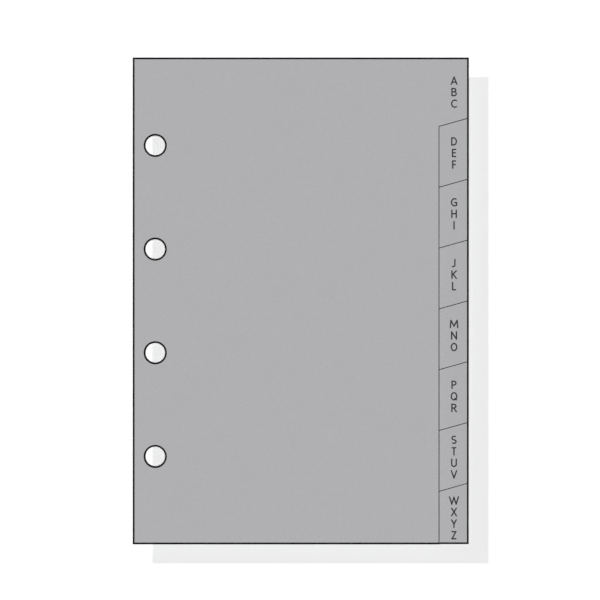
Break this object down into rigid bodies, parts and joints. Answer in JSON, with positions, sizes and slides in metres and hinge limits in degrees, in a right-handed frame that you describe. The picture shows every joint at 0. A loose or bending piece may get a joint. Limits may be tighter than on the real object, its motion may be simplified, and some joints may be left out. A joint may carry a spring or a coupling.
{
  "type": "a to z index divider set",
  "caption": "A to Z index set for a ring binder: loose plastic leaves with ring holes down one side and stair-stepped, slant-ended tabs down the other.",
  "frame": {"origin": "the middle of the stack's footprint, on the surface that it lies on", "axes": "+X from the ring holes to the tabs, +Y to the head of the leaves (the ABC end), +Z out of the front leaf"},
  "size_m": [0.0718, 0.104, 0.0039],
  "materials": {
    "sheet": "matte",
    "print": "matte"
  },
  "bodies": {
    "leaf_abc": {"leaf_abc": "sheet"},
    "leaf_def": {"leaf_def": "sheet"},
    "leaf_ghi": {"leaf_ghi": "sheet"},
    "leaf_jkl": {"leaf_jkl": "sheet"},
    "leaf_mno": {"leaf_mno": "sheet"},
    "leaf_pqr": {"leaf_pqr": "sheet"},
    "leaf_stuv": {"leaf_stuv": "sheet"},
    "leaf_wxyz": {"leaf_wxyz": "sheet"}
  },
  "joints": [
    {"name": "turn_abc", "type": "hinge", "parent": "leaf_def", "child": "leaf_abc", "pos_m": [-0.0391, 0, 0.00195], "axis": [0, -1, 0], "range_deg": [0, 180]},
    {"name": "turn_def", "type": "hinge", "parent": "leaf_ghi", "child": "leaf_def", "pos_m": [-0.0391, 0, 0.00195], "axis": [0, -1, 0], "range_deg": [0, 180]},
    {"name": "turn_ghi", "type": "hinge", "parent": "leaf_jkl", "child": "leaf_ghi", "pos_m": [-0.0391, 0, 0.00195], "axis": [0, -1, 0], "range_deg": [0, 180]},
    {"name": "turn_jkl", "type": "hinge", "parent": "leaf_mno", "child": "leaf_jkl", "pos_m": [-0.0391, 0, 0.00195], "axis": [0, -1, 0], "range_deg": [0, 180]},
    {"name": "turn_mno", "type": "hinge", "parent": "leaf_pqr", "child": "leaf_mno", "pos_m": [-0.0391, 0, 0.00195], "axis": [0, -1, 0], "range_deg": [0, 180]},
    {"name": "turn_pqr", "type": "hinge", "parent": "leaf_stuv", "child": "leaf_pqr", "pos_m": [-0.0391, 0, 0.00195], "axis": [0, -1, 0], "range_deg": [0, 180]},
    {"name": "turn_stuv", "type": "hinge", "parent": "leaf_wxyz", "child": "leaf_stuv", "pos_m": [-0.0391, 0, 0.00195], "axis": [0, -1, 0], "range_deg": [0, 180]}
  ]
}
